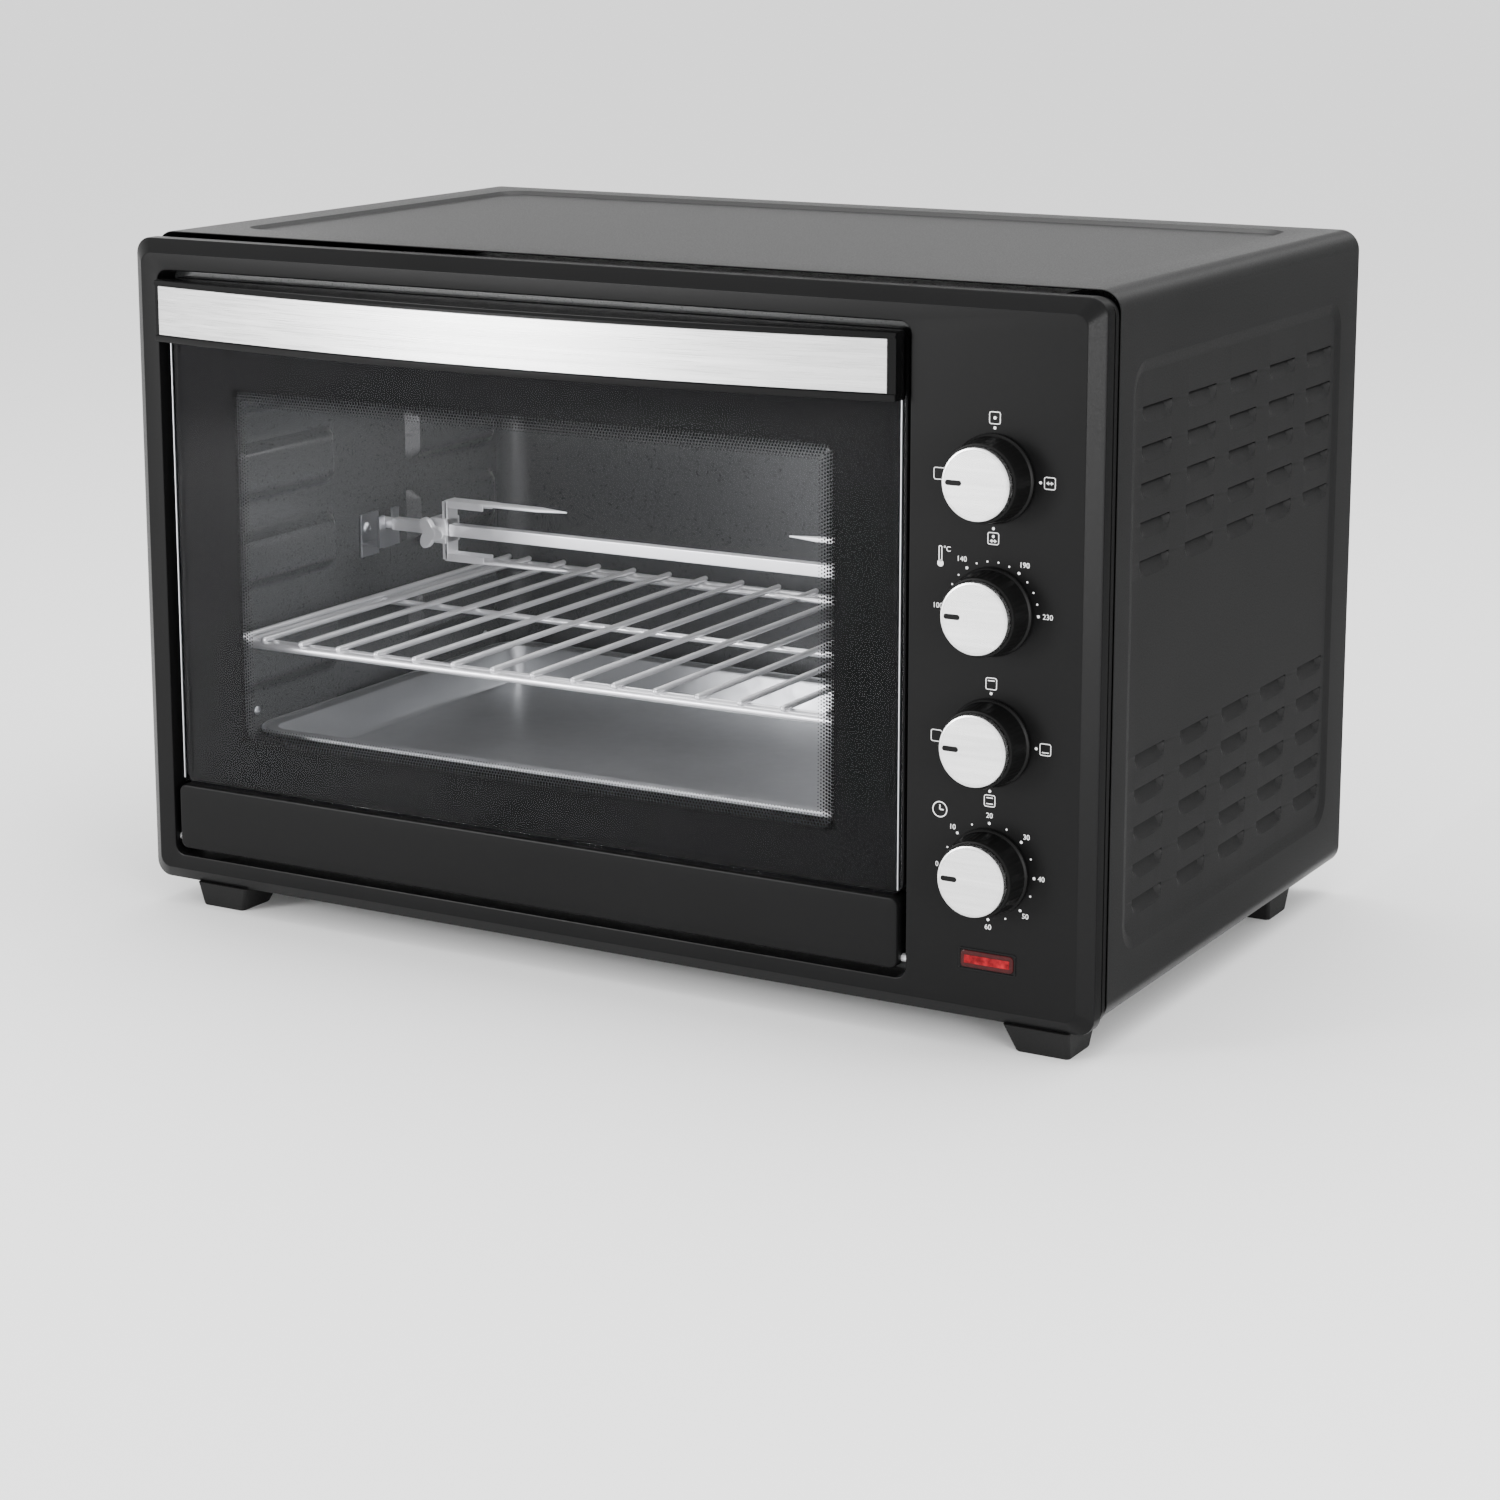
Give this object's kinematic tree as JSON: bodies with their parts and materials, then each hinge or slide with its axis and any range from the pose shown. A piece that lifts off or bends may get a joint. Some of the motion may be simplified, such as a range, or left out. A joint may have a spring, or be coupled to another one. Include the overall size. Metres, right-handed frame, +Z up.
{
  "type": "rotisserie oven",
  "caption": "Counter-top oven with a drop-down glass door, bowed handle, rotary knobs, wire rack, baking tray and a motor-driven spit.",
  "frame": {"origin": "on the table plane, under the middle of the oven's overall box", "axes": "+X to the right as seen from the front, -Y out of the front, +Z up"},
  "size_m": [0.58, 0.3766, 0.379],
  "materials": {
    "baking_tray": "dark enamel",
    "base_pan": "satin powder coat",
    "cavity_back_wall": "dark enamel",
    "cavity_floor": "dark enamel",
    "cavity_front_frame": "dark enamel",
    "cavity_left_wall": "dark enamel",
    "cavity_right_wall": "dark enamel",
    "cavity_roof": "dark enamel",
    "cord_gland": "fine grained",
    "door_bottom_trim": "semi-gloss black",
    "door_frame": "semi-gloss black",
    "door_glass": "tinted",
    "drive_socket": "zinc plated",
    "fan_blade": "zinc plated",
    "fan_motor": "zinc plated",
    "foot_front_left": "fine grained",
    "foot_front_right": "fine grained",
    "foot_rear_left": "fine grained",
    "foot_rear_right": "fine grained",
    "front_fascia": "semi-gloss black",
    "function_knob": "fine grained",
    "function_knob_cap": "brushed",
    "function_spindle": "zinc plated",
    "function_switch": "moulded",
    "handle_grip": "gloss black",
    "handle_strip": "brushed",
    "heat_knob": "fine grained",
    "heat_knob_cap": "brushed",
    "heat_spindle": "zinc plated",
    "heat_switch": "moulded",
    "heating_element_lower_front": "zinc plated",
    "heating_element_lower_rear": "zinc plated",
    "heating_element_upper_front": "zinc plated",
    "heating_element_upper_rear": "zinc plated",
    "hinge_bracket_left": "zinc plated",
    "hinge_bracket_right": "zinc plated",
    "hinge_pin_left": "polished",
    "hinge_pin_right": "polished",
    "indicator_lamp": "moulded",
    "indicator_lens": "clear red",
    "left_fork": "polished",
    "left_thumbscrew": "polished",
    "rear_panel": "satin powder coat",
    "right_fork": "polished",
    "right_thumbscrew": "polished",
    "rotisserie_motor": "zinc plated",
    "spit_bracket": "polished",
    "spit_rod": "polished",
    "temperature_knob": "fine grained",
    "temperature_knob_cap": "brushed",
    "temperature_spindle": "zinc plated",
    "thermostat": "zinc plated",
    "timer_bell": "polished",
    "timer_knob": "fine grained",
    "timer_knob_cap": "brushed",
    "timer_spindle": "zinc plated",
    "timer_works": "zinc plated",
    "top_cover": "satin powder coat",
    "wire_rack": "polished"
  },
  "bodies": {
    "housing": {"top_cover": "top_cover", "base_pan": "base_pan", "rear_panel": "rear_panel", "front_fascia": "front_fascia", "cavity_front_frame": "cavity_front_frame", "cavity_left_wall": "cavity_left_wall", "cavity_right_wall": "cavity_right_wall", "cavity_back_wall": "cavity_back_wall", "cavity_roof": "cavity_roof", "cavity_floor": "cavity_floor", "indicator_lens": "indicator_lens", "cord_gland": "cord_gland", "foot_front_left": "foot_front_left", "foot_front_right": "foot_front_right", "foot_rear_left": "foot_rear_left", "foot_rear_right": "foot_rear_right", "function_switch": "function_switch", "heat_switch": "heat_switch", "indicator_lamp": "indicator_lamp", "thermostat": "thermostat", "timer_works": "timer_works", "rotisserie_motor": "rotisserie_motor", "fan_motor": "fan_motor", "hinge_bracket_left": "hinge_bracket_left", "hinge_bracket_right": "hinge_bracket_right", "heating_element_upper_front": "heating_element_upper_front", "heating_element_upper_rear": "heating_element_upper_rear", "heating_element_lower_front": "heating_element_lower_front", "heating_element_lower_rear": "heating_element_lower_rear", "spit_bracket": "spit_bracket", "timer_bell": "timer_bell"},
    "door": {"door_frame": "door_frame", "door_glass": "door_glass", "door_bottom_trim": "door_bottom_trim", "hinge_pin_left": "hinge_pin_left", "hinge_pin_right": "hinge_pin_right", "handle_grip": "handle_grip", "handle_strip": "handle_strip"},
    "function_control": {"function_knob": "function_knob", "function_knob_cap": "function_knob_cap", "function_spindle": "function_spindle"},
    "temperature_control": {"temperature_knob": "temperature_knob", "temperature_knob_cap": "temperature_knob_cap", "temperature_spindle": "temperature_spindle"},
    "heat_control": {"heat_knob": "heat_knob", "heat_knob_cap": "heat_knob_cap", "heat_spindle": "heat_spindle"},
    "timer_control": {"timer_knob": "timer_knob", "timer_knob_cap": "timer_knob_cap", "timer_spindle": "timer_spindle"},
    "rack": {"wire_rack": "wire_rack"},
    "tray": {"baking_tray": "baking_tray"},
    "spit": {"spit_rod": "spit_rod", "drive_socket": "drive_socket"},
    "left_spit_fork": {"left_fork": "left_fork"},
    "left_clamp_screw": {"left_thumbscrew": "left_thumbscrew"},
    "right_spit_fork": {"right_fork": "right_fork"},
    "right_clamp_screw": {"right_thumbscrew": "right_thumbscrew"},
    "fan": {"fan_blade": "fan_blade"}
  },
  "joints": [
    {"name": "door_hinge", "type": "hinge", "parent": "housing", "child": "door", "pos_m": [-0.041, -0.15475, 0.0395], "axis": [1, 0, 0], "range_deg": [0, 90]},
    {"name": "function_turn", "type": "hinge", "parent": "housing", "child": "function_control", "pos_m": [0.2349, -0.16075, 0.2879], "axis": [0, 1, 0], "range_deg": [0, 270]},
    {"name": "temperature_turn", "type": "hinge", "parent": "housing", "child": "temperature_control", "pos_m": [0.2349, -0.16075, 0.2228], "axis": [0, 1, 0], "range_deg": [0, 180]},
    {"name": "heat_turn", "type": "hinge", "parent": "housing", "child": "heat_control", "pos_m": [0.2349, -0.16075, 0.1577], "axis": [0, 1, 0], "range_deg": [0, 270]},
    {"name": "timer_turn", "type": "hinge", "parent": "housing", "child": "timer_control", "pos_m": [0.2349, -0.16075, 0.0926], "axis": [0, 1, 0], "range_deg": [0, 270]},
    {"name": "rack_slide", "type": "slide", "parent": "housing", "child": "rack", "axis": [0, -1, 0], "range_m": [0, 0.158]},
    {"name": "tray_slide", "type": "slide", "parent": "housing", "child": "tray", "axis": [0, -1, 0], "range_m": [0, 0.087]},
    {"name": "spit_turn", "type": "hinge", "parent": "housing", "child": "spit", "pos_m": [-0.09, 0.00425, 0.1965], "axis": [1, 0, 0], "continuous": true},
    {"name": "left_fork_slide", "type": "slide", "parent": "spit", "child": "left_spit_fork", "axis": [1, 0, 0], "range_m": [-0.02, 0.07]},
    {"name": "right_fork_slide", "type": "slide", "parent": "spit", "child": "right_spit_fork", "axis": [1, 0, 0], "range_m": [-0.07, 0.02]},
    {"name": "left_screw_turn", "type": "hinge", "parent": "left_spit_fork", "child": "left_clamp_screw", "pos_m": [-0.1995, -0.00275, 0.1965], "axis": [0, 1, 0], "continuous": true},
    {"name": "right_screw_turn", "type": "hinge", "parent": "right_spit_fork", "child": "right_clamp_screw", "pos_m": [0.1175, -0.00275, 0.1965], "axis": [0, 1, 0], "continuous": true},
    {"name": "fan_turn", "type": "hinge", "parent": "housing", "child": "fan", "pos_m": [0.183, 0.08425, 0.2695], "axis": [1, 0, 0], "continuous": true}
  ],
  "couplings": [
    {"joint": "rack_slide", "follows": "door_hinge", "m_per_rad": 0.1},
    {"joint": "tray_slide", "follows": "door_hinge", "m_per_rad": 0.055}
  ]
}
